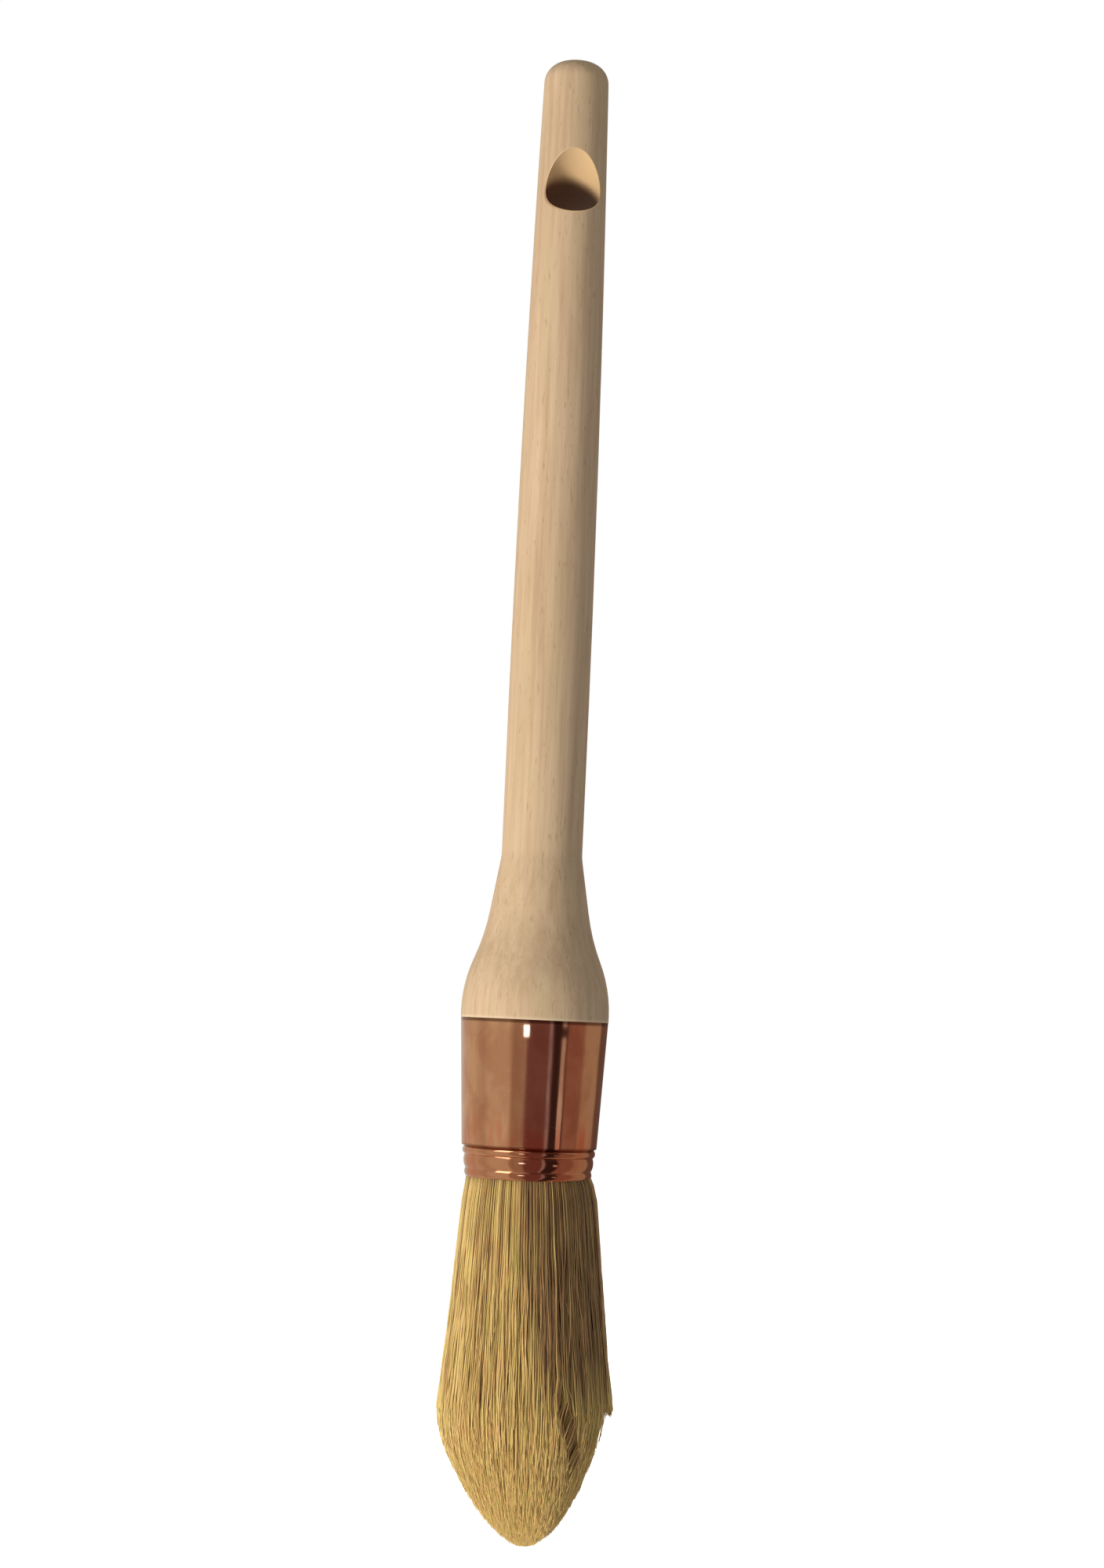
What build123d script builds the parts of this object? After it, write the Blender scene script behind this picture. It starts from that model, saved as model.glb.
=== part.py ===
from build123d import *
import math
import os

# Round pointed paint brush: a turned wooden handle, a tapered metal ferrule and a bristle head.
# Millimetres. +Z runs up the handle's axis, so the bristles hang down, and the origin is the
# centre of the slanting hole that the brush hangs by.

# Handle
handle_length = 166.0           # rounded end to shoulder
hole_above_shoulder = 140.0     # hole's centre, measured up from the shoulder
hole_radius = 4.7
hole_slope = 33.0               # degrees that the hole falls from front (-Y) to back (+Y)
end_radius = 5.6
end_rounding = 3.6
belly_radius = 6.68             # grip radius midway between the end and the flare
neck_radius = 6.86              # grip radius where the flare begins
flare_length = 28.4             # shoulder up to the start of the flare
break_radius = 8.0              # blend from the grip into the flare's cone
break_angle = 9.5
cone_length = 9.0
bell_radius = 36.0              # hollow sweep of the flare
bell_angle = 13.5
shoulder_radius = 12.55
tenon_length = 12.0

# Ferrule
ferrule_length = 26.65
ferrule_top_radius = 12.5
ferrule_taper_length = 21.3     # plain tapered wall, above the rolled beads
ferrule_taper_end_radius = 11.42
wall = 0.4
throat_radius = 10.2            # inside of the mouth
glue_gap = 0.05                 # between the wall and what is glued inside it

# Pins that hold the ferrule on the tenon
pin_drop = 6.0                  # below the shoulder
pin_angle = 20.0                # degrees that each pin sits behind the brush's side
pin_shank_radius = 0.55
pin_length = 7.0
pin_head_radius = 1.0
pin_head_height = 0.3

# Bristle head
plug_radius = 4.0
plug_length = 11.5
setting_length = 8.0            # resin that holds the bristle roots
bristle_length = 61.0           # mouth of the ferrule to the point
rim_radius = 11.2               # bundle's radius at its upper rim
waist_radius = 12.95            # halfway from the rim to the widest place
widest_radius = 14.4
widest_drop = 38.0
cone_mid_radius = 12.0          # on the pointed end
cone_mid_drop = 47.4
cone_low_radius = 6.8
cone_low_drop = 56.7
bristle_lean = 2.0              # degrees that the bundle leans towards +X
flex_limit = 20.0               # degrees that the bundle bends either way
flex_margin = 2.0               # degrees that the rim stays short of the mouth when bent
flex_clearance = 0.3            # between the domed roots and the bundle's socket

shoulder_z = -hole_above_shoulder
end_z = shoulder_z + handle_length
mouth_z = shoulder_z - ferrule_length
tenon_z = shoulder_z - tenon_length
setting_z = tenon_z - setting_length
plug_z = tenon_z - plug_length
taper_end_z = shoulder_z - ferrule_taper_length
throat_z = taper_end_z - 2.0    # where the inside has narrowed to the throat
dome_radius = throat_radius - glue_gap


def turned(outline):
    """Solid of revolution about Z from the lines of a closed (radius, height) outline."""
    return revolve(Plane.XZ * make_face(Curve() + outline), Axis.Z)


def ferrule_radius(z):
    """Outer radius of the ferrule's tapered wall at a height."""
    share = (shoulder_z - z) / ferrule_taper_length
    return ferrule_top_radius + share * (ferrule_taper_end_radius - ferrule_top_radius)


def fill_radius(z):
    """Radius of whatever fills the ferrule's tapered part."""
    return ferrule_radius(z) - wall - glue_gap


def handle_outline():
    """Rounded end, slightly swelling grip, bell-shaped flare, shoulder and tapered tenon."""
    flare_z = shoulder_z + flare_length
    grip_top = (end_radius, end_z - end_rounding)
    grip_middle = (belly_radius, (grip_top[1] + flare_z) / 2)
    crown = Line((0, end_z), (end_radius - end_rounding, end_z))
    end_round = JernArc(crown @ 1, (1, 0), end_rounding, -90)
    grip = ThreePointArc(grip_top, grip_middle, (neck_radius, flare_z))
    flare_break = JernArc(grip @ 1, grip % 1, break_radius, break_angle)
    cone = Line(flare_break @ 1, flare_break @ 1 + (flare_break % 1) * cone_length)
    bell = JernArc(cone @ 1, cone % 1, bell_radius, bell_angle)
    slope = math.degrees(math.acos(-(bell % 1).Y))
    round_radius = (shoulder_radius - (bell @ 1).X) / (1 - math.cos(math.radians(slope)))
    shoulder_round = JernArc(bell @ 1, bell % 1, round_radius, -slope)
    foot = Polyline(
        shoulder_round @ 1,
        (shoulder_radius, shoulder_z),
        (fill_radius(shoulder_z), shoulder_z),
        (fill_radius(tenon_z), tenon_z),
        (0, tenon_z),
        (0, end_z),
    )
    return [crown, end_round, grip, flare_break, cone, bell, shoulder_round, foot]


def hanging_hole():
    """Cylinder that drills the hole, falling from front to back through the origin."""
    return Rot(-90 - hole_slope, 0, 0) * Cylinder(hole_radius, 8 * end_radius)


def ferrule_outline():
    """Tapered wall, then a bead, a flat band and a rolled rim round the mouth."""
    bead_z = taper_end_z - 0.3
    band_z = bead_z - 1.3
    rim_z = band_z - 2.3
    wall_line = Line((ferrule_top_radius, shoulder_z), (ferrule_taper_end_radius, taper_end_z))
    step = Line(wall_line @ 1, (10.95, bead_z))
    bead = ThreePointArc(step @ 1, (11.22, bead_z - 0.55), (10.82, band_z))
    band = ThreePointArc(bead @ 1, (10.98, band_z - 1.0), (10.6, rim_z))
    rim = ThreePointArc(band @ 1, (10.75, rim_z - 0.7), (10.4, mouth_z))
    inside = Polyline(
        rim @ 1,
        (throat_radius, mouth_z),
        (throat_radius, throat_z),
        (ferrule_taper_end_radius - wall, taper_end_z),
        (ferrule_top_radius - wall, shoulder_z),
        (ferrule_top_radius, shoulder_z),
    )
    return [wall_line, step, bead, band, rim, inside]


def pin_shank(side):
    """Shank of the pin on the +X side (side 1) or the -X side (side -1)."""
    start = ferrule_radius(shoulder_z - pin_drop) - pin_length
    shank = Pos(start, 0, shoulder_z - pin_drop) * Rot(0, 90, 0) * Cylinder(
        pin_shank_radius, pin_length, align=(Align.CENTER, Align.CENTER, Align.MIN)
    )
    return pin_place(side) * shank


def pin_head(side):
    """Low domed head, hollowed underneath to sit on the round wall."""
    base = ferrule_radius(shoulder_z - pin_drop) - pin_head_height
    head = Pos(base, 0, shoulder_z - pin_drop) * Rot(0, 90, 0) * Cylinder(
        pin_head_radius, 2 * pin_head_height, align=(Align.CENTER, Align.CENTER, Align.MIN)
    )
    head = chamfer(head.edges().group_by(Axis.X)[-1], pin_head_height / 2)
    envelope = turned(
        Polyline(
            (0, shoulder_z),
            (ferrule_top_radius, shoulder_z),
            (ferrule_taper_end_radius, taper_end_z),
            (0, taper_end_z),
            close=True,
        )
    )
    return pin_place(side) * (head - envelope)


def pin_place(side):
    """Turns a pin drawn along +X to its own side of the brush."""
    return Rot(0, 0, 90 - side * (90 - pin_angle))


def setting_outline():
    """Resin ring round the plug, filling the ferrule below the tenon."""
    return Polyline(
        (plug_radius, tenon_z),
        (fill_radius(tenon_z), tenon_z),
        (fill_radius(setting_z), setting_z),
        (plug_radius, setting_z),
        close=True,
    )


def butts_outline():
    """Bristle roots below the resin, closed over the plug's end, with a dome below the mouth."""
    top = Polyline(
        (0, plug_z),
        (plug_radius, plug_z),
        (plug_radius, setting_z),
        (fill_radius(setting_z), setting_z),
        (fill_radius(taper_end_z), taper_end_z),
        (dome_radius, throat_z),
        (dome_radius, mouth_z),
    )
    dome = CenterArc((0, mouth_z), dome_radius, 0, -90)
    return [top, dome, Line(dome @ 1, top @ 0)]


def bundle_outline():
    """Free bristles, drawn with the mouth's centre at height 0.

    A round socket turns about the domed roots, and the rim stays below the mouth as it does.
    """
    rim_angle = flex_limit + bristle_lean + flex_margin
    socket = CenterArc((0, 0), dome_radius + flex_clearance, -90, 90 - rim_angle)
    rim = Line(socket @ 1, (rim_radius, (socket @ 1).Y))
    waist_drop = (widest_drop - (rim @ 1).Y) / 2
    side = ThreePointArc(rim @ 1, (waist_radius, -waist_drop), (widest_radius, -widest_drop))
    point = Spline(
        side @ 1,
        (cone_mid_radius, -cone_mid_drop),
        (cone_low_radius, -cone_low_drop),
        (0, -bristle_length),
        tangents=(side % 1, (-1, 0)),
    )
    return [socket, rim, side, point, Line(point @ 1, socket @ 0)]


def build_parts():
    """Every piece of the brush by name."""
    shanks = {"left": pin_shank(-1), "right": pin_shank(1)}
    handle = turned(handle_outline()) - hanging_hole()
    ferrule = turned(ferrule_outline())
    for shank in shanks.values():
        handle -= shank
        ferrule -= shank
    plug = Pos(0, 0, plug_z) * Cylinder(
        plug_radius, plug_length, align=(Align.CENTER, Align.CENTER, Align.MIN)
    )
    bundle = Pos(0, 0, mouth_z) * Rot(0, -bristle_lean, 0) * turned(bundle_outline())
    return {
        "handle": handle,
        "ferrule": ferrule,
        "ferrule_pin_left": shanks["left"] + pin_head(-1),
        "ferrule_pin_right": shanks["right"] + pin_head(1),
        "centre_plug": plug,
        "bristle_setting": turned(setting_outline()),
        "bristle_butts": turned(butts_outline()),
        "bristle_bundle": bundle,
    }


os.makedirs("parts", exist_ok=True)
for name, shape in build_parts().items():
    export_step(shape, f"parts/{name}.step")
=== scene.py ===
"""Looks of a round pointed paint brush: beech handle, copper ferrule and hog bristle.

Lengths are in millimetres, in the CAD's frame, until MM turns them into Blender's metres.
"""

import math

import bpy
import numpy as np
from mathutils import Matrix, Vector


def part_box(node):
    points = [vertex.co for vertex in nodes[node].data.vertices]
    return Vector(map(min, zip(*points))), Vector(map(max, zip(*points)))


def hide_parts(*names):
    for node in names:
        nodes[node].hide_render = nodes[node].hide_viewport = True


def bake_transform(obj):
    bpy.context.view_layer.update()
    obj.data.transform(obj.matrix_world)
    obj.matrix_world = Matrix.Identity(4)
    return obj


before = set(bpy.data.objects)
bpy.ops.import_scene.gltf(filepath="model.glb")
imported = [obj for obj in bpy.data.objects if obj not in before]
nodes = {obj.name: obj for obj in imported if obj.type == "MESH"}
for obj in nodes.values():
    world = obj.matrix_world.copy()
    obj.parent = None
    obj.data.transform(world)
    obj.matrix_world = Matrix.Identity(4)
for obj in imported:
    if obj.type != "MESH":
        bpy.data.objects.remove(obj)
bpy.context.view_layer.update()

MM = 0.001


def add_object(name, data):
    """New object in the scene with this mesh, light or camera."""
    made = bpy.data.objects.new(name, data)
    bpy.context.scene.collection.objects.link(made)
    return made


def z_span(name):
    """Lowest and highest point of a CAD node, in millimetres."""
    low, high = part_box(name)
    return low.z / MM, high.z / MM


# ---------------------------------------------------------------- places from the frame
mouth_z, shoulder_z = z_span("ferrule")
handle_end_z = z_span("handle")[1]
tip_z = z_span("bristle_bundle")[0]
bead_height = 5.35              # of the ferrule's beads and band, above its mouth
bead_z = mouth_z + bead_height

# Camera
camera_distance = 500.0         # from the handle's axis, level with the shoulder
camera_azimuth = -3.0           # degrees round the brush from the front, negative towards -X
camera_pitch = 4.6              # degrees up
camera_yaw = -0.133             # degrees, away from the axis
camera_roll = 2.55              # degrees, which leans the brush's top to the right
camera_lens = 67.46             # focal length, on a 36 mm sensor

# Studio
softbox_distance = 900.0        # from the middle of the brush
floor_gap = 50.0                # below the bristles' point
floor_side = 4000.0

# Hanging hole, as the CAD drills it
hole_radius = 4.7
hole_slope = 33.0               # degrees that it falls from front to back
bore_shade_depths = (-4.2, -1.2)     # depths, from its middle, over which painted shade darkens its wall
bore_shade_fade_depths = (5.5, 8.5)      # and over which that painted shade fades, so it is pale again
bore_shade_tilt = 0.3           # how much deeper that lies for each millimetre to the right

# Outline of the bristle bundle. A drop is a distance below the mouth.
bristle_length = 61.0
bristle_lean = 2.0              # degrees towards +X
mouth_radius = 10.1             # where the bristles leave the ferrule
rim_radius = 10.65              # just below it
pinch_length = 1.0              # in which they spread from one to the other
side_bulge = 0.15               # how far the side bows out above its widest place
widest_radius = 14.4
widest_drop = 38.0
cone_power = 1.6                # the pointed end's curve, as a superellipse's two powers
cone_bluntness = 1.6
cone_hold = 0.25                # share of the lost radius that strands keep as the point narrows

# Strands
random_seed = 11
strand_count = 13000
angle_scatter = 0.02            # radians by which they miss an even spiral from the axis out
share_scatter = 0.004           # and by which share of the radius
least_share = 0.005             # of the radius, so that none sits on the axis
strand_radius = 0.09
radius_spread = (0.75, 1.2)     # thinnest and thickest strand, as parts of that radius
strand_tip_share = 0.36         # of that radius, at the point
taper_start = 25.0              # drop where strands begin to thin
outer_share = 0.70              # inside this share of the radius, strands start low, in the core
inner_start = 43.0              # drop where those start
root_start = -1.5               # drop where the others start, inside the ferrule
strand_stations = 16            # points along an outer strand
inner_stations = 5              # points along an inner one
end_scatter = 0.45              # how unevenly the strands end
end_shortfall = 0.24            # how much too short they are on average
clump_count = 1500
clump_pull = 0.26               # how much of the way a strand gathers to its clump's middle
clump_drop = 24.0               # drop where it has
clump_obedience = (0.3, 1.0)    # least and most of that pull that a strand follows
slow_sway = 0.16                # sideways waves along a strand
fast_sway = 0.05
ripple_depth = 0.08             # waves in and out
ripple_middle = -0.7            # of that depth, so that strands hardly leave the outline
wavelengths = (13.0, 32.0)      # shortest and longest that a strand has
wave_parts = (1.0, 0.41, 0.73)  # those three waves' lengths, as parts of the strand's wavelength
free_drops = (1.0, 20.0)        # where the waves set in
stray_share = 0.12              # share of the strands that sway more than the rest
stray_sway = 3.2                # how many times more

# Tone of the strands, from 0, dark, to 1, pale, with painted shade on the side away from the light
middle_tone = 0.555
strand_tone_spread = 0.085
clump_tone_spread = 0.065
root_depth = 0.07               # how much darker the hair is near the ferrule
root_drops = (15.0, 42.0)       # where that fades
shaded_side_depth = 0.29              # how much darker, and browner, painted shade makes the hair on its shaded side
shaded_side_evenness = 0.4            # how much less the strands there differ
shaded_side_start = (-18.0, 0.0)      # bearings of that side's edge at the mouth and at the widest place
shaded_side_softness = 16.0           # degrees over which it sets in
shaded_side_end = (110.0, 150.0)      # bearings between which it fades at the back
shaded_side_loss = 0.85               # how much of it is gone on the point
shaded_side_loss_drops = (26.0, 43.0)                     # where it goes

# Unevenness of the bundle. A bearing is degrees from the front (-Y) towards +X.
right_bearing = 87.0
mouth_swell = 0.95              # how far the right side stands out below the mouth
mouth_swell_length = 18.0
cone_loss = 0.9                 # how much slimmer the point is on its right side
cone_loss_drops = (widest_drop, 51.0, 53.0, 60.0)   # where that starts, is full, fades, ends
left_swell = 0.7
left_swell_drop = 42.5
left_swell_reach = (13.0, 5.0)  # above and below that drop
lock_half_angle = 20.0
lock_end = 38.9                 # drop where the overhanging lock on the right is cut off
lock_slant = 2.2                # how much shorter it is at its two sides
lock_scatter = 0.4              # how unevenly it ends
lock_share = 0.91               # share of the radius outside which strands belong to it
lock_lift = 0.35                # how far it stands off the bundle at its end
lock_lift_drops = (30.0, 39.0)  # where it begins to and where it does
cleft_drops = (26.0, 31.0, 48.0, 56.0)
cleft_bearings = (10.0, 15.0, 41.0, 45.0)
cleft_depth_drops = (28.0, 41.0, 45.5, 49.5)        # where it starts, is deepest, closes, ends
cleft_opening = 0.9             # how far strands move aside
cleft_softness = 1.3            # distance within which they do
cleft_share = 0.80              # share of the radius outside which they do
cleft_shade_width = 0.75              # half width of the painted shade along the cleft

# Core
core_share = 0.84               # of the bundle's radius
core_drops = (-1.0, 55.0)
core_closing = (46.0, 55.2)     # drops between which it closes to a point
core_rows = 44
core_columns = 96

tuft_pieces = 8


# ---------------------------------------------------------------- shader nodes
def rgb(red, green, blue):
    return (red, green, blue, 1.0)


class Graph:
    """Short names for the shader nodes that the materials and the studio use."""

    def __init__(self, tree):
        self.tree = tree
        tree.nodes.clear()

    def put(self, socket, value):
        """Links a socket to the value, or sets it to a constant."""
        if isinstance(value, bpy.types.NodeSocket):
            self.tree.links.new(value, socket)
        else:
            socket.default_value = value

    def add(self, kind, inputs=None, **settings):
        """New node, with its inputs by name or number."""
        made = self.tree.nodes.new(kind)
        for name, value in settings.items():
            setattr(made, name, value)
        for name, value in (inputs or {}).items():
            self.put(made.inputs[name], value)
        return made

    def place(self, stretch=(1, 1, 1), shift=(0, 0, 0)):
        """Position on the part in millimetres, times stretch."""
        where = self.add("ShaderNodeTexCoord").outputs["Object"]
        scale = tuple(share / MM for share in stretch)
        made = self.add("ShaderNodeMapping", {"Vector": where, "Scale": scale, "Location": shift})
        return made.outputs[0]

    def noise(self, vector, detail=3.0, roughness=0.5, distortion=0.0):
        """Noise whose size is set by the stretch of its position."""
        inputs = {"Vector": vector, "Scale": 1.0, "Detail": detail,
                  "Roughness": roughness, "Distortion": distortion}
        return self.add("ShaderNodeTexNoise", inputs).outputs[0]

    def math(self, operation, first, second=0.0, clamp=False):
        inputs = {0: first, 1: second}
        return self.add("ShaderNodeMath", inputs, operation=operation, use_clamp=clamp).outputs[0]

    def vector(self, operation, first, second=(0, 0, 0), output=0):
        inputs = {0: first, 1: second}
        return self.add("ShaderNodeVectorMath", inputs, operation=operation).outputs[output]

    def height(self):
        """Height on the part in millimetres."""
        return self.add("ShaderNodeSeparateXYZ", {0: self.place()}).outputs["Z"]

    def spread(self, value, low, high, to_low=0.0, to_high=1.0):
        """Value from low to high becomes to_low to to_high, smoothly, and stays there beyond."""
        inputs = {0: value, 1: low, 2: high, 3: to_low, 4: to_high}
        made = self.add("ShaderNodeMapRange", inputs, interpolation_type="SMOOTHSTEP")
        return made.outputs[0]

    def mix(self, share, first, second, blend="MIX"):
        inputs = {0: share, 6: first, 7: second}
        return self.add("ShaderNodeMix", inputs, data_type="RGBA", blend_type=blend).outputs[2]

    def ramp(self, value, stops):
        """Colour by value, from (place, colour) stops."""
        made = self.add("ShaderNodeValToRGB", {0: value})
        elements = made.color_ramp.elements
        while len(elements) < len(stops):
            elements.new(1.0)
        for element, (where, colour) in zip(elements, stops):
            element.position = where
            element.color = colour
        return made.outputs[0]

    def bump(self, height, distance, strength):
        """Normal for a height of 0 to 1 over a distance in millimetres."""
        inputs = {"Height": height, "Distance": distance * MM, "Strength": strength}
        return self.add("ShaderNodeBump", inputs).outputs[0]

    def surface(self, **inputs):
        """Principled shader with these inputs, whose names have _ for a space."""
        named = {name.replace("_", " "): value for name, value in inputs.items()}
        shader = self.add("ShaderNodeBsdfPrincipled", named)
        self.add("ShaderNodeOutputMaterial", {"Surface": shader.outputs[0]})


def new_material(name):
    """Empty material and the graph to fill it with."""
    material = bpy.data.materials.new(name)
    material.use_nodes = True
    return material, Graph(material.node_tree)


# ---------------------------------------------------------------- materials
def beech():
    """Pale steamed beech, turned and sanded, unvarnished."""
    material, g = new_material("beech")
    broad = g.noise(g.place((0.16, 0.16, 0.012)), detail=2.0)
    streaks = g.noise(g.place((0.9, 0.9, 0.035)), detail=4.0, roughness=0.6)
    fibres = g.noise(g.place((3.6, 3.6, 0.16)), detail=3.0, roughness=0.6)
    mottle = g.noise(g.place((1.5, 1.5, 0.9)), detail=3.0, roughness=0.65)
    flecks = g.noise(g.place((2.4, 2.4, 0.42), (7, 3, 0)), detail=1.0)
    colour = g.ramp(streaks, [(0.30, rgb(0.53, 0.355, 0.21)), (0.50, rgb(0.62, 0.435, 0.265)),
                              (0.70, rgb(0.69, 0.50, 0.315))])
    colour = g.mix(g.spread(broad, 0.42, 0.66, 0.0, 0.45), colour, rgb(0.585, 0.445, 0.25))
    colour = g.mix(g.spread(fibres, 0.45, 0.75, 0.0, 0.28), colour, rgb(0.47, 0.30, 0.175))
    colour = g.mix(g.spread(flecks, 0.64, 0.74, 0.0, 0.45), colour, rgb(0.40, 0.24, 0.13))
    normal = g.add("ShaderNodeNewGeometry").outputs["Normal"]
    upward = g.math("ABSOLUTE", g.add("ShaderNodeSeparateXYZ", {0: normal}).outputs["Z"])
    end_grain = g.spread(upward, 0.10, 0.75)
    grain_colour = g.mix(g.spread(mottle, 0.40, 0.62), colour, rgb(0.52, 0.37, 0.225))
    colour = g.mix(g.math("MULTIPLY", end_grain, 0.75), colour, grain_colour)
    # the hanging hole's wall, with painted shade deep inside it
    bore, bore_shaded_colour = bore_wall_and_shade(g)
    colour = g.mix(bore, colour, bore_shaded_colour)
    foot = g.spread(g.height(), shoulder_z + 0.15, shoulder_z + 0.6, 0.55, 0.0)
    colour = g.mix(foot, colour, rgb(0.80, 0.62, 0.42))
    relief = g.math("ADD", g.math("MULTIPLY", fibres, 0.7), g.math("MULTIPLY", mottle, 0.3))
    rough = g.spread(streaks, 0.3, 0.7, 0.50, 0.64)
    g.surface(Base_Color=colour, Roughness=rough, Specular_IOR_Level=0.35,
              Normal=g.bump(relief, 0.05, 0.6))
    return material


def bore_wall_and_shade(g):
    """How much a point belongs to the hanging hole's wall, and that wall's colour, darkened by
    painted shade deeper in the hole.
    """
    slope = math.radians(hole_slope)
    axis = (0.0, math.cos(slope), -math.sin(slope))
    away = g.vector("LENGTH", g.vector("CROSS_PRODUCT", g.place(), axis), output="Value")
    wall = g.spread(away, hole_radius + 0.05, hole_radius + 0.35, 0.9, 0.0)
    depth = g.vector("DOT_PRODUCT", g.place(), (-bore_shade_tilt, axis[1], axis[2]), output="Value")
    # painted shade: the wall darkens with depth down the hole and pales again near its far end
    painted_bore_shade = g.spread(depth, *bore_shade_depths)
    painted_bore_shade = g.math("MULTIPLY", painted_bore_shade, g.spread(depth, *bore_shade_fade_depths, 1.0, 0.0))
    # the wall's pale wood, and the dark brown of the painted shade
    return wall, g.mix(painted_bore_shade, rgb(0.70, 0.475, 0.245), rgb(0.12, 0.040, 0.013))


def copper():
    """Drawn copper, a little handled, reddish above the beads, with painted shade on the beads, in
    the groove above them and along its top edge.
    """
    material, g = new_material("copper")
    bloom = g.noise(g.place((0.22, 0.22, 0.16)), detail=3.0, roughness=0.55, distortion=0.4)
    drawn = g.noise(g.place((1.6, 1.6, 0.07)), detail=4.0, roughness=0.6)
    scuffs = g.noise(g.place((0.5, 0.5, 5.5)), detail=2.0)
    waves = g.noise(g.place((0.30, 0.30, 0.05)), detail=1.0)
    colour = g.mix(g.spread(bloom, 0.38, 0.66), rgb(0.86, 0.47, 0.29), rgb(0.74, 0.36, 0.22))
    colour = g.mix(g.spread(drawn, 0.55, 0.75, 0.0, 0.3), colour, rgb(0.62, 0.27, 0.16))
    height = g.height()
    flush = g.spread(g.noise(g.place((0.55, 0.55, 0.05), (4, 0, 0)), detail=2.0), 0.40, 0.68)
    flush = g.math("MULTIPLY", flush, g.spread(height, bead_z + 0.8, bead_z + 6.5, 0.85, 0.0))
    colour = g.mix(flush, colour, rgb(0.84, 0.21, 0.12))
    # painted shade: the beads tinted darker and redder, which darkens what they mirror
    beads = g.spread(height, bead_z - 0.4, bead_z, 0.55, 0.0)
    colour = g.mix(beads, colour, rgb(0.72, 0.32, 0.18))
    # painted shade: a dark line in the groove where the plain wall meets the beads
    from_groove = g.math("ABSOLUTE", g.math("SUBTRACT", height, bead_z - 0.1))
    colour = g.mix(g.spread(from_groove, 0.12, 0.45, 0.6, 0.0), colour, rgb(0.16, 0.06, 0.03))
    # painted shade: a dark band along the top edge, under the wood's shoulder
    top_edge_shade = g.spread(height, shoulder_z - 0.75, shoulder_z - 0.35, 0.0, 0.85)
    colour = g.mix(top_edge_shade, colour, rgb(0.20, 0.085, 0.045))
    rough = g.spread(bloom, 0.35, 0.7, 0.07, 0.13)
    rough = g.math("ADD", rough, g.spread(scuffs, 0.62, 0.72, 0.0, 0.06))
    turned_in = g.spread(height, shoulder_z - 3.4, shoulder_z - 0.4, 0.0, -2.0)
    relief = g.math("ADD", g.math("ADD", waves, turned_in), g.math("MULTIPLY", drawn, 0.05))
    g.surface(Base_Color=colour, Metallic=1.0, Roughness=rough, Normal=g.bump(relief, 0.12, 0.5))
    return material


def pin_metal():
    """Copper-washed nail, duller than the ferrule."""
    material, g = new_material("pin_metal")
    spots = g.noise(g.place((2.5, 2.5, 2.5)), detail=3.0)
    colour = g.mix(g.spread(spots, 0.4, 0.65), rgb(0.78, 0.44, 0.27), rgb(0.45, 0.22, 0.13))
    rough = g.spread(spots, 0.35, 0.7, 0.25, 0.45)
    g.surface(Base_Color=colour, Metallic=1.0, Roughness=rough, Normal=g.bump(spots, 0.04, 0.5))
    return material


def resin():
    """Dark amber resin that holds the roots."""
    material, g = new_material("resin")
    cloud = g.noise(g.place((0.7, 0.7, 0.7)), detail=3.0)
    colour = g.mix(cloud, rgb(0.22, 0.10, 0.035), rgb(0.40, 0.21, 0.08))
    rough = g.spread(cloud, 0.3, 0.7, 0.15, 0.3)
    g.surface(Base_Color=colour, Roughness=rough, Normal=g.bump(cloud, 0.05, 0.4))
    return material


def cleft_shaded(g, colour):
    """Darkens a colour with painted shade in the bundle's cleft."""
    cleft_shade = g.add("ShaderNodeAttribute", attribute_name="cleft_shade").outputs["Fac"]
    # painted shade: dark reddish brown along the cleft
    return g.mix(g.math("MULTIPLY", cleft_shade, 0.92), colour, rgb(0.23, 0.068, 0.025))


def bristle():
    """Strands, coloured by tone, which carries painted shade on their shaded side, paler towards
    the point, in slightly reddish and olive patches, with painted shade in the cleft.
    """
    material, g = new_material("bristle")
    # tone includes the painted shade of the side away from the light
    tone = g.add("ShaderNodeAttribute", attribute_name="tone").outputs["Fac"]
    along = g.add("ShaderNodeAttribute", attribute_name="along").outputs["Fac"]
    patch = g.noise(g.place((0.8, 0.8, 0.12)), detail=2.0)
    tone = g.math("ADD", tone, g.spread(patch, 0.35, 0.65, -0.055, 0.055), clamp=True)
    colour = g.ramp(tone, [(0.0, rgb(0.20, 0.105, 0.045)), (0.22, rgb(0.475, 0.29, 0.12)),
                           (0.5, rgb(0.845, 0.61, 0.215)), (0.78, rgb(0.935, 0.72, 0.30)),
                           (1.0, rgb(0.97, 0.82, 0.48))])
    colour = g.mix(g.spread(along, 0.50, 0.95, 0.0, 0.65), colour, rgb(0.99, 0.735, 0.275))
    hue = g.noise(g.place((1.9, 1.9, 0.07), (9, 0, 0)), detail=2.0)
    colour = g.mix(g.spread(hue, 0.51, 0.62, 0.0, 0.6), colour, rgb(1.0, 0.80, 0.84), "MULTIPLY")
    colour = g.mix(g.spread(hue, 0.36, 0.48, 0.8, 0.0), colour, rgb(0.92, 1.0, 0.80), "MULTIPLY")
    # painted shade in the cleft
    colour = cleft_shaded(g, colour)
    g.surface(Base_Color=colour, Roughness=0.42, Specular_IOR_Level=0.45)
    return material


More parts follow.
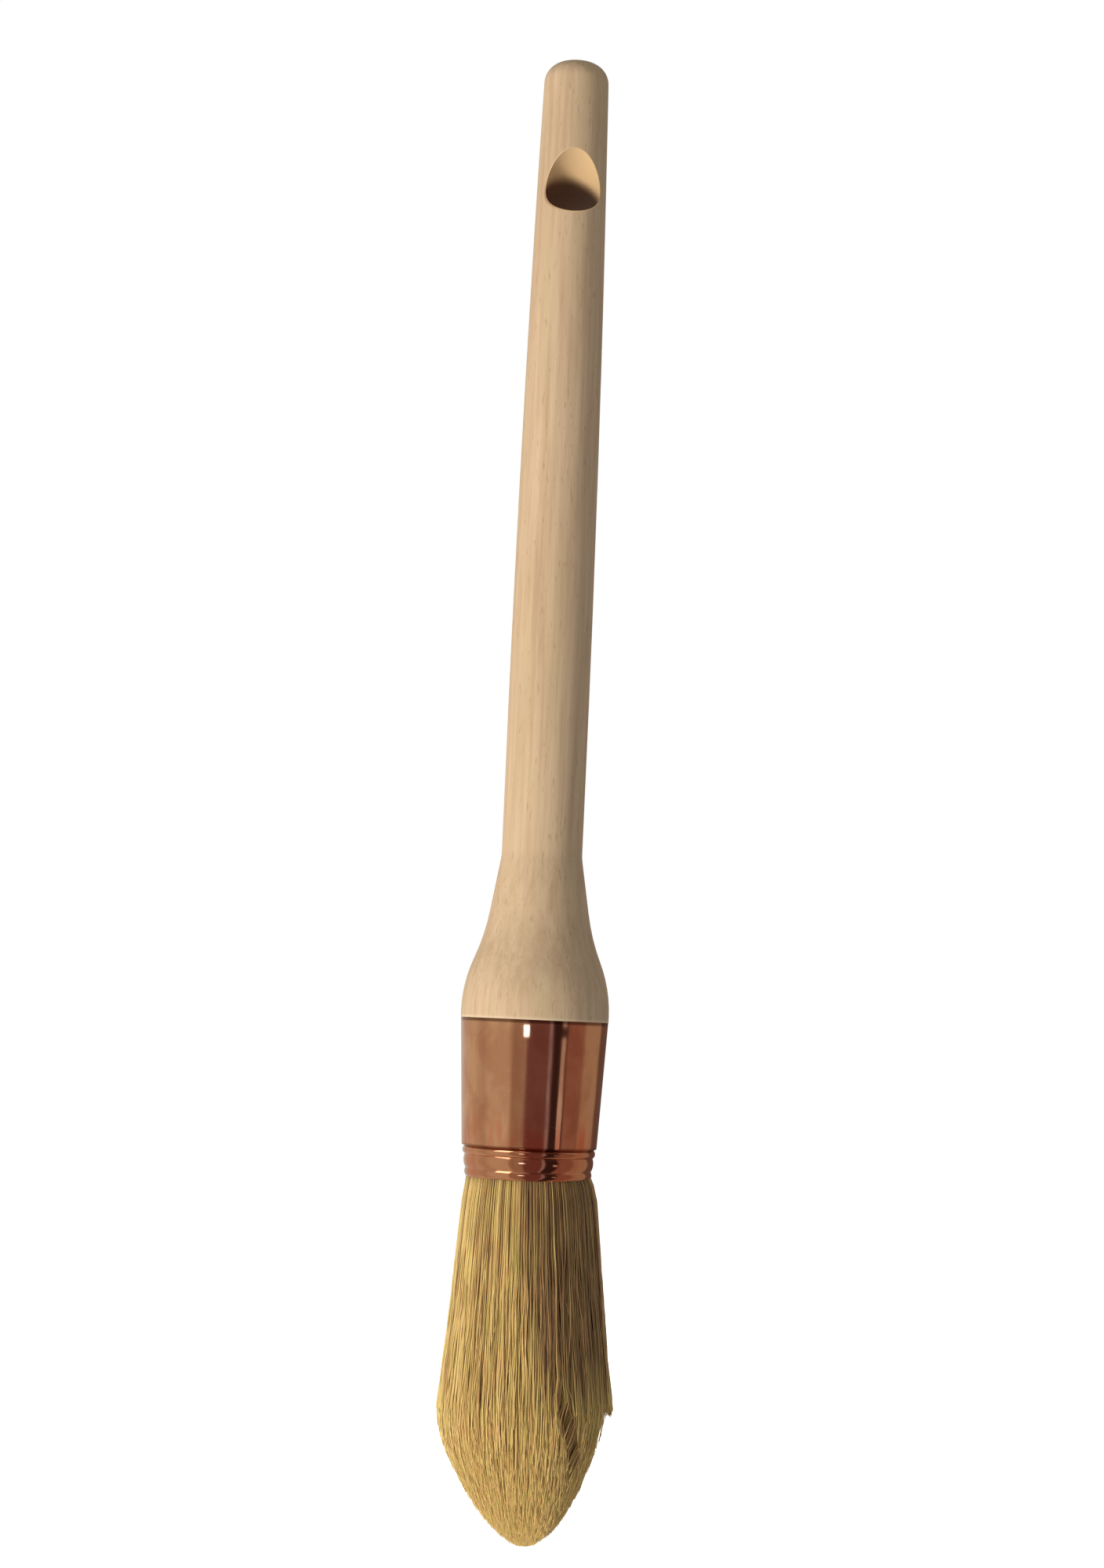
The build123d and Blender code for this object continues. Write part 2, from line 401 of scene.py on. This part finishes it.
def packed_bristle():
    """Close-packed hair of the core and the roots, drawn as fine vertical streaks, with painted
    shade in the cleft.
    """
    material, g = new_material("packed_bristle")
    streaks = g.noise(g.place((3.2, 3.2, 0.09)), detail=4.0, roughness=0.65)
    colour = g.ramp(streaks, [(0.32, rgb(0.30, 0.19, 0.075)), (0.5, rgb(0.54, 0.37, 0.14)),
                              (0.7, rgb(0.74, 0.53, 0.21))])
    # painted shade in the cleft
    colour = cleft_shaded(g, colour)
    rough = g.spread(streaks, 0.3, 0.7, 0.5, 0.7)
    g.surface(Base_Color=colour, Roughness=rough, Normal=g.bump(streaks, 0.25, 0.9))
    return material


# ---------------------------------------------------------------- bristles
def bundle_radius(drop):
    """Radius of the bundle's even outline."""
    share = np.clip(drop / widest_drop, 0, 1)
    side = rim_radius + (widest_radius - rim_radius) * share + 4 * side_bulge * share * (1 - share)
    side = side - (rim_radius - mouth_radius) * np.exp(-np.maximum(drop, 0) / pinch_length)
    down = np.clip((drop - widest_drop) / (bristle_length - widest_drop), 0, 1)
    point = widest_radius * (1 - down**cone_power) ** (1 / cone_bluntness)
    return np.where(drop < widest_drop, side, point)


def flow_radius(drop):
    """Radius that an outermost strand would run at if it didn't end in the outline."""
    edge = bundle_radius(drop)
    return np.where(drop < widest_drop, edge, edge + cone_hold * (widest_radius - edge))


def strand_end(share):
    """Drop at which a strand at a share of the flow's radius meets the bundle's outline."""
    drops = np.linspace(widest_drop, bristle_length, 400)
    shares = bundle_radius(drops) / flow_radius(drops)
    return np.interp(share, shares[::-1], drops[::-1])


def smooth(value, low, high):
    """0 up to low, 1 from high on, and smooth between them."""
    t = np.clip((value - low) / (high - low), 0, 1)
    return t * t * (3 - 2 * t)


def between(value, start, full, fading, end):
    """0 outside start and end, 1 from full to fading, and smooth in between."""
    return smooth(value, start, full) * (1 - smooth(value, fading, end))


def lean(points):
    """Bundle's own frame, with the mouth's centre at its origin, to the CAD's frame."""
    turn = np.array(Matrix.Rotation(math.radians(-bristle_lean), 3, "Y"))
    return points @ turn.T + np.array((0.0, 0.0, mouth_z))


def signed(degrees):
    """Angle between -180 and 180."""
    return (degrees + 180) % 360 - 180


class Strands:
    """Every strand's place in the bundle's section, its end, waves, thickness and tone."""

    def __init__(self):
        rng = np.random.default_rng(random_seed)
        count = strand_count
        number = np.arange(count)
        golden_angle = math.pi * (3 - math.sqrt(5))
        self.angle = number * golden_angle + rng.normal(0, angle_scatter, count)
        share = np.sqrt((number + 0.5) / count)
        self.share = np.clip(share + rng.normal(0, share_scatter, count), least_share, 1.0)
        clump_share = np.sqrt(rng.random(clump_count))
        clump_angle = rng.random(clump_count) * 2 * math.pi
        clump_tone = rng.normal(0, 1, clump_count)
        here = np.stack([self.share * np.cos(self.angle), self.share * np.sin(self.angle)], 1)
        there = np.stack([clump_share * np.cos(clump_angle), clump_share * np.sin(clump_angle)], 1)
        nearest = np.concatenate([((part[:, None] - there[None]) ** 2).sum(2).argmin(1)
                                  for part in np.array_split(here, 13)])
        self.here = here
        self.pull = there[nearest] - here
        own_tone = rng.normal(0, 1, count)
        self.tone = strand_tone_spread * own_tone + clump_tone_spread * clump_tone[nearest]
        end = strand_end(self.share) + rng.normal(0, end_scatter, count)
        end = np.minimum(end - rng.exponential(end_shortfall, count), bristle_length)
        self.wave = rng.uniform(0, 2 * math.pi, (count, 3))
        self.wavelength = rng.uniform(*wavelengths, count)
        self.obedience = rng.uniform(*clump_obedience, count)
        self.width = strand_radius * rng.uniform(*radius_spread, count)
        self.bearing = signed(np.degrees(self.angle) + 90)
        from_right = signed(self.bearing - right_bearing)
        lock = (np.abs(from_right) < lock_half_angle) & (self.share > lock_share)
        sideways = (from_right / lock_half_angle) ** 2
        cut = lock_end - lock_slant * sideways + rng.normal(0, lock_scatter, count)
        self.end = np.where(lock, cut, end)
        self.lift = np.where(lock, lock_lift * (1 - sideways), 0.0)
        self.stray = np.where(rng.random(count) < stray_share, stray_sway, 1.0)


def on_side(bearing, middle):
    """1 at the bearing of a side's middle, falling to 0 a quarter turn away."""
    return np.clip(np.cos(np.radians(bearing - middle)), 0, 1) ** 2


def swell(bearing, drop):
    """Millimetres that the bundle stands out of its even outline."""
    below = np.maximum(drop, 0)
    mouth = mouth_swell * np.exp(-below / mouth_swell_length) * (1 - np.exp(-below / pinch_length))
    loss = cone_loss * between(drop, *cone_loss_drops)
    reach = np.where(drop < left_swell_drop, *left_swell_reach)
    left = left_swell * np.exp(-(((drop - left_swell_drop) / reach) ** 2))
    right = mouth - loss
    return right * on_side(bearing, right_bearing) + left * on_side(bearing, right_bearing - 180)


def cleft_distance(bearing, drop, radius):
    """Distance along the surface from the cleft's middle, to its right."""
    middle = np.interp(drop, cleft_drops, cleft_bearings)
    return np.radians(signed(bearing - middle)) * radius


def painted_cleft_shade(bearing, drop, radius):
    """1 along the middle of the cleft, where painted shade makes the hair darkest."""
    across = np.exp(-((cleft_distance(bearing, drop, radius) / cleft_shade_width) ** 2))
    return between(drop, *cleft_depth_drops) * across


def shaded_side(bearing, drop):
    """1 where the hair is browner and darkened by painted shade, on the front's right away from the
    light, fading out on the point.
    """
    start = np.interp(drop, (0, widest_drop), shaded_side_start)
    across = between(bearing, start, start + shaded_side_softness, *shaded_side_end)
    return across * (1 - shaded_side_loss * smooth(drop, *shaded_side_loss_drops))


def strand_paths(strands, chosen, start, stations):
    """Points of the chosen strands in the bundle's own frame, each point's drop and its painted
    cleft shade.
    """
    t = np.linspace(0, 1, stations)
    drop = start + (strands.end[chosen, None] - start) * t
    gather = clump_pull * smooth(drop, 0, clump_drop) * strands.obedience[chosen, None]
    flat = strands.here[chosen, None, :] + strands.pull[chosen, None, :] * gather[..., None]
    share = np.maximum(np.linalg.norm(flat, axis=2), 1e-6)
    outward = flat / share[..., None]
    around = np.stack([-outward[..., 1], outward[..., 0]], 2)
    bearing = np.degrees(np.arctan2(flat[..., 1], flat[..., 0])) + 90
    lift = strands.lift[chosen, None] * smooth(drop, *lock_lift_drops)
    radius = flow_radius(drop) + swell(bearing, drop) + lift
    slow, fast, ripple = [np.sin(2 * math.pi * drop / (part * strands.wavelength[chosen, None])
                                 + strands.wave[chosen, k, None])
                          for k, part in enumerate(wave_parts)]
    free = smooth(drop, *free_drops)
    sway = free * strands.stray[chosen, None] * (slow_sway * slow + fast_sway * fast)
    away = cleft_distance(bearing, drop, radius)
    open_by = cleft_opening * between(drop, *cleft_depth_drops)
    aside = open_by * np.exp(-np.abs(away) / cleft_softness) * np.sign(away)
    sway = sway + aside * (strands.share[chosen, None] > cleft_share)
    push = ripple_depth * free * (ripple + ripple_middle)
    place = flat * radius[..., None] + around * sway[..., None] + outward * push[..., None]
    return np.concatenate([place, -drop[..., None]], 2), drop, painted_cleft_shade(bearing, drop, radius)


def add_attribute(mesh, name, values):
    """Number at each point of a mesh, for its material to read."""
    made = mesh.attributes.new(name, "FLOAT", "POINT")
    made.data.foreach_set("value", values.astype(np.float32).ravel())


def strand_cells(count, stations, sides):
    """Texture coordinates of the faces' corners, with each strand in its own cell of a grid."""
    columns = math.ceil(math.sqrt(count * stations / 2))
    rows = math.ceil(count / columns)
    steps = np.repeat(np.arange(stations - 1), sides)
    quads = np.stack([np.stack([np.full(len(steps), edge), (steps + up) / stations], 1)
                      for edge, up in ((0, 0), (1, 0), (1, 1), (0, 1))], 1).reshape(-1, 2)
    top = (stations - 1) / stations
    caps = np.array([(0, top), (1, top), (0.5, 1)] * sides + [(0, 0), (0.5, 0.02), (1, 0)])
    inside = 0.1 + 0.8 * np.concatenate([quads, caps])
    corner = np.stack([np.arange(count) % columns, np.arange(count) // columns], 1)
    return (corner[:, None] + inside[None]) / (columns, rows)


def tube_object(name, paths, widths, attributes):
    """One mesh of closed three-sided tubes, tapering to a point, along paths in millimetres."""
    count, stations, _ = paths.shape
    sides = 3
    along = np.gradient(paths, axis=1)
    along /= np.linalg.norm(along, axis=2, keepdims=True)
    across = np.cross(along, np.array((1.0, 0.0, 0.0)))
    across /= np.linalg.norm(across, axis=2, keepdims=True)
    other = np.cross(along, across)
    turn = 2 * math.pi * np.arange(sides) / sides
    ring = np.cos(turn)[:, None] * across[:, :, None] + np.sin(turn)[:, None] * other[:, :, None]
    rings = paths[:, :, None] + widths[:, :, None, None] * ring
    tips = paths[:, -1] + along[:, -1] * 2 * widths[:, -1, None]
    per = stations * sides + 1
    points = np.concatenate([rings.reshape(count, -1, 3), tips[:, None]], 1).reshape(-1, 3)
    station, side = np.meshgrid(np.arange(stations - 1), np.arange(sides), indexing="ij")
    following = (side + 1) % sides
    quads = np.stack([station * sides + side, station * sides + following,
                      (station + 1) * sides + following, (station + 1) * sides + side], -1)
    quads = quads.reshape(-1, 4)
    last = (stations - 1) * sides
    caps = [[last + k, last + (k + 1) % sides, per - 1] for k in range(sides)] + [[0, 2, 1]]
    caps = np.array(caps)
    first = (np.arange(count) * per)[:, None, None]
    loops = np.concatenate([(part[None] + first).reshape(count, -1) for part in (quads, caps)], 1)
    sizes = np.tile(np.concatenate([np.full(len(quads), 4), np.full(len(caps), 3)]), count)
    mesh = bpy.data.meshes.new(name)
    mesh.vertices.add(len(points))
    mesh.vertices.foreach_set("co", (lean(points) * MM).astype(np.float32).ravel())
    mesh.loops.add(loops.size)
    mesh.loops.foreach_set("vertex_index", loops.astype(np.int32).ravel())
    mesh.polygons.add(len(sizes))
    starts = np.concatenate([[0], np.cumsum(sizes)[:-1]])
    mesh.polygons.foreach_set("loop_start", starts.astype(np.int32))
    mesh.polygons.foreach_set("use_smooth", np.ones(len(sizes), bool))
    mesh.update(calc_edges=True)
    cells = strand_cells(count, stations, sides)
    mesh.uv_layers.new(name="OFBake").data.foreach_set("uv", cells.astype(np.float32).ravel())
    for label, values in attributes.items():
        values = np.concatenate([np.repeat(values, sides, axis=1), values[:, -1:]], 1)
        add_attribute(mesh, label, values)
    return add_object(name, mesh)


def tufts(strands, material):
    """Outer strands in a piece for each sector of the bundle, and the inner ones in one."""
    sector = ((strands.angle % (2 * math.pi)) / (2 * math.pi) * tuft_pieces).astype(int)
    outer = strands.share > outer_share
    made = []
    groups = [(f"bristle_tuft_{k + 1}", outer & (sector == k), root_start, strand_stations)
              for k in range(tuft_pieces)]
    groups.append(("bristle_tuft_middle", ~outer, inner_start, inner_stations))
    for name, chosen, start, stations in groups:
        paths, drop, cleft_shade = strand_paths(strands, chosen, start, stations)
        taper = 1 - (1 - strand_tip_share) * smooth(drop, taper_start, bristle_length)
        widths = strands.width[chosen, None] * taper
        # painted shade: strands on the side away from the light darker and browner
        side_shade = shaded_side(strands.bearing[chosen, None], drop)
        own = strands.tone[chosen, None] * (1 - shaded_side_evenness * side_shade)
        root = 1 - smooth(drop, *root_drops)
        tone = middle_tone + own - shaded_side_depth * side_shade - root_depth * root
        along = np.clip(drop / bristle_length, 0, 1)
        tuft = tube_object(name, paths, widths, {"tone": tone, "along": along, "cleft_shade": cleft_shade})
        tuft.data.materials.append(material)
        made.append(tuft)
    return made


def bristle_core(material):
    """Dense middle of the bundle, which the outer strands lie on."""
    rows, columns = core_rows, core_columns
    drop = np.linspace(*core_drops, rows)
    closing = np.sqrt(np.clip(1 - smooth(drop, *core_closing), 0, 1))
    radius = core_share * bundle_radius(drop) * closing
    turn = 2 * math.pi * np.arange(columns) / columns
    points = np.stack([radius[:, None] * np.cos(turn), radius[:, None] * np.sin(turn),
                       np.repeat(-drop[:, None], columns, axis=1)], 2).reshape(-1, 3)
    faces = [(r * columns + c, (r + 1) * columns + c, (r + 1) * columns + (c + 1) % columns,
              r * columns + (c + 1) % columns) for r in range(rows - 1) for c in range(columns)]
    faces.append(tuple(range(columns)))
    faces.append(tuple((rows - 1) * columns + c for c in reversed(range(columns))))
    mesh = bpy.data.meshes.new("bristle_core")
    mesh.from_pydata((lean(points) * MM).tolist(), [], faces)
    mesh.polygons.foreach_set("use_smooth", np.ones(len(faces), bool))
    mesh.materials.append(material)
    bearing = np.degrees(turn) + 90
    # painted shade along the cleft
    add_attribute(mesh, "cleft_shade", painted_cleft_shade(bearing[None], drop[:, None], radius[:, None]))
    return add_object("bristle_core", mesh)


# ---------------------------------------------------------------- studio
def add_camera():
    """Camera in front of the brush, a little to its left, that looks slightly up."""
    turn = math.radians(camera_azimuth)
    data = bpy.data.cameras.new("camera")
    data.lens = camera_lens
    data.clip_start = 0.01
    data.clip_end = 20.0
    camera = add_object("camera", data)
    stand = Vector((math.sin(turn), -math.cos(turn), 0.0)) * camera_distance
    stand.z = shoulder_z
    aim = Matrix.Rotation(turn + math.radians(camera_yaw), 4, "Z")
    aim = aim @ Matrix.Rotation(math.radians(90 + camera_pitch), 4, "X")
    aim = aim @ Matrix.Rotation(math.radians(camera_roll), 4, "Z")
    camera.matrix_world = Matrix.Translation(stand * MM) @ aim
    bpy.context.scene.camera = camera


def mirrored_stops():
    """What the copper mirrors, by degrees to the right of the camera: a room's walls and gaps."""
    pale = rgb(0.62, 0.62, 0.56)
    bright = rgb(0.54, 0.51, 0.41)
    worn = rgb(0.44, 0.38, 0.30)
    dim = rgb(0.33, 0.26, 0.20)
    gloom = rgb(0.155, 0.08, 0.08)
    grey = rgb(0.30, 0.25, 0.30)
    black = rgb(0.035, 0.018, 0.016)
    brick = rgb(0.25, 0.14, 0.11)
    amber = rgb(0.34, 0.27, 0.20)
    back = rgb(0.13, 0.085, 0.07)
    return [(-180, pale), (-108, bright), (-88, worn), (-70, bright), (-38, bright), (-31, dim),
            (-14, dim), (-8, gloom), (24, gloom), (27, grey), (29, grey), (32, black), (54, black),
            (58, brick), (84, brick), (92, amber), (126, amber), (134, back), (174, back),
            (180, pale)]


def lit_stops():
    """Soft, slightly cool light round the brush, by degrees to the right of the camera."""
    levels = [(-180, 0.50), (-130, 0.66), (-45, 0.62), (5, 0.50), (60, 0.48), (150, 0.46),
              (180, 0.50)]
    return [(degrees, rgb(level * 0.98, level * 0.99, level * 1.02)) for degrees, level in levels]


def build_world():
    """Surroundings that mirror and light differently, and are plain white to the camera."""
    world = bpy.data.worlds.new("studio")
    bpy.context.scene.world = world
    world.use_nodes = True
    g = Graph(world.node_tree)
    facing = g.add("ShaderNodeTexCoord").outputs["Generated"]
    turn = (0.0, 0.0, -math.radians(camera_azimuth))
    facing = g.add("ShaderNodeMapping", {"Vector": facing, "Rotation": turn}).outputs[0]
    parts = g.add("ShaderNodeSeparateXYZ", {0: facing}).outputs
    azimuth = g.math("ARCTAN2", parts["X"], g.math("MULTIPLY", parts["Y"], -1.0))
    degrees = g.math("MULTIPLY", azimuth, 180 / math.pi)
    share = g.math("ADD", g.math("DIVIDE", degrees, 360.0), 0.5)

    def round_ramp(stops):
        return g.ramp(share, [(place / 360 + 0.5, colour) for place, colour in stops])

    def strip(low, high, soft):
        """1 between two azimuths, fading to 0 over soft degrees outside them."""
        rise = g.spread(degrees, low - soft, low)
        return g.math("MULTIPLY", rise, g.spread(degrees, high, high + soft, 1.0, 0.0))

    def patch(low, high, bottom, top):
        """1 in a patch between two azimuths and two heights on the unit sphere."""
        level = g.spread(parts["Z"], bottom, bottom + 0.01)
        level = g.math("MULTIPLY", level, g.spread(parts["Z"], top - 0.05, top, 1.0, 0.0))
        return g.math("MULTIPLY", level, strip(low, high, 2.0))

    mirrored = round_ramp(mirrored_stops())
    ceiling = g.mix(strip(8, 62, 25), rgb(0.42, 0.38, 0.33), rgb(0.10, 0.055, 0.05))
    mirrored = g.mix(g.spread(parts["Z"], 0.30, 0.70), mirrored, ceiling)
    doorway = patch(45.5, 52.5, -0.24, 0.0)
    mirrored = g.mix(doorway, mirrored, rgb(0.46, 0.41, 0.38))
    window = patch(-15, -9, -0.04, 0.10)
    mirrored = g.mix(window, mirrored, rgb(2.8, 3.4, 4.2))
    lamp = patch(-66, -36, 0.42, 0.90)
    mirrored = g.mix(lamp, mirrored, rgb(3.0, 2.8, 2.5))
    lit = round_ramp(lit_stops())
    lit = g.mix(g.spread(parts["Z"], -0.6, 0.7), lit, g.mix(0.5, lit, rgb(0, 0, 0)))
    rays = g.add("ShaderNodeLightPath").outputs
    colour = g.mix(rays["Is Diffuse Ray"], mirrored, lit)
    colour = g.mix(rays["Is Camera Ray"], colour, rgb(1, 1, 1))
    background = g.add("ShaderNodeBackground", {"Color": colour, "Strength": 1.0})
    g.add("ShaderNodeOutputWorld", {"Surface": background.outputs[0]})


def add_softbox(name, azimuth, elevation, size, power, colour):
    """Square light that faces the brush and isn't mirrored. Azimuth is to the camera's right."""
    data = bpy.data.lights.new(name, "AREA")
    data.size = size * MM
    data.energy = power
    data.color = colour
    light = add_object(name, data)
    turn = math.radians(camera_azimuth + azimuth)
    rise = math.radians(elevation)
    level = Vector((math.sin(turn), -math.cos(turn), 0.0))
    away = level * math.cos(rise) + Vector((0.0, 0.0, math.sin(rise)))
    middle = Vector((0.0, 0.0, (handle_end_z + tip_z) / 2))
    light.location = (middle + away * softbox_distance) * MM
    light.rotation_euler = away.to_track_quat("Z", "Y").to_euler()
    light.visible_glossy = False
    light.visible_camera = False


def add_floor():
    """Pale floor under the hanging brush."""
    half = floor_side / 2 * MM
    z = (tip_z - floor_gap) * MM
    mesh = bpy.data.meshes.new("floor")
    corners = [(-half, -half, z), (half, -half, z), (half, half, z), (-half, half, z)]
    mesh.from_pydata(corners, [], [(0, 1, 2, 3)])
    material, g = new_material("floor")
    shade = g.noise(g.place((0.01, 0.01, 0.01)), detail=1.0)
    colour = g.mix(shade, rgb(0.60, 0.60, 0.60), rgb(0.62, 0.62, 0.62))
    g.surface(Base_Color=colour, Roughness=0.9, Specular_IOR_Level=0.0,
              Emission_Color=rgb(1, 1, 1), Emission_Strength=0.95)
    mesh.materials.append(material)
    floor = add_object("floor", mesh)
    floor.visible_diffuse = False
    floor.visible_glossy = False
    floor.visible_shadow = False


# ---------------------------------------------------------------- assembly
def paint(name, material):
    """Gives a CAD node its material."""
    node = nodes[name]
    node.data.materials.clear()
    node.data.materials.append(material)


bpy.context.scene.view_settings.view_transform = "Standard"
add_camera()
build_world()
add_floor()
add_softbox("key", azimuth=-50, elevation=-24, size=260, power=6.8, colour=(1.0, 0.965, 0.92))
add_softbox("back", azimuth=165, elevation=12, size=300, power=5.0, colour=(1.0, 0.975, 0.94))

wood = beech()
pin = pin_metal()
packed = packed_bristle()
paint("handle", wood)
paint("centre_plug", wood)
paint("ferrule", copper())
paint("ferrule_pin_left", pin)
paint("ferrule_pin_right", pin)
paint("bristle_setting", resin())
paint("bristle_butts", packed)

pieces = tufts(Strands(), bristle())
pieces.append(bristle_core(packed))
for piece in pieces:
    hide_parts("bristle_bundle")
    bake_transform(piece)
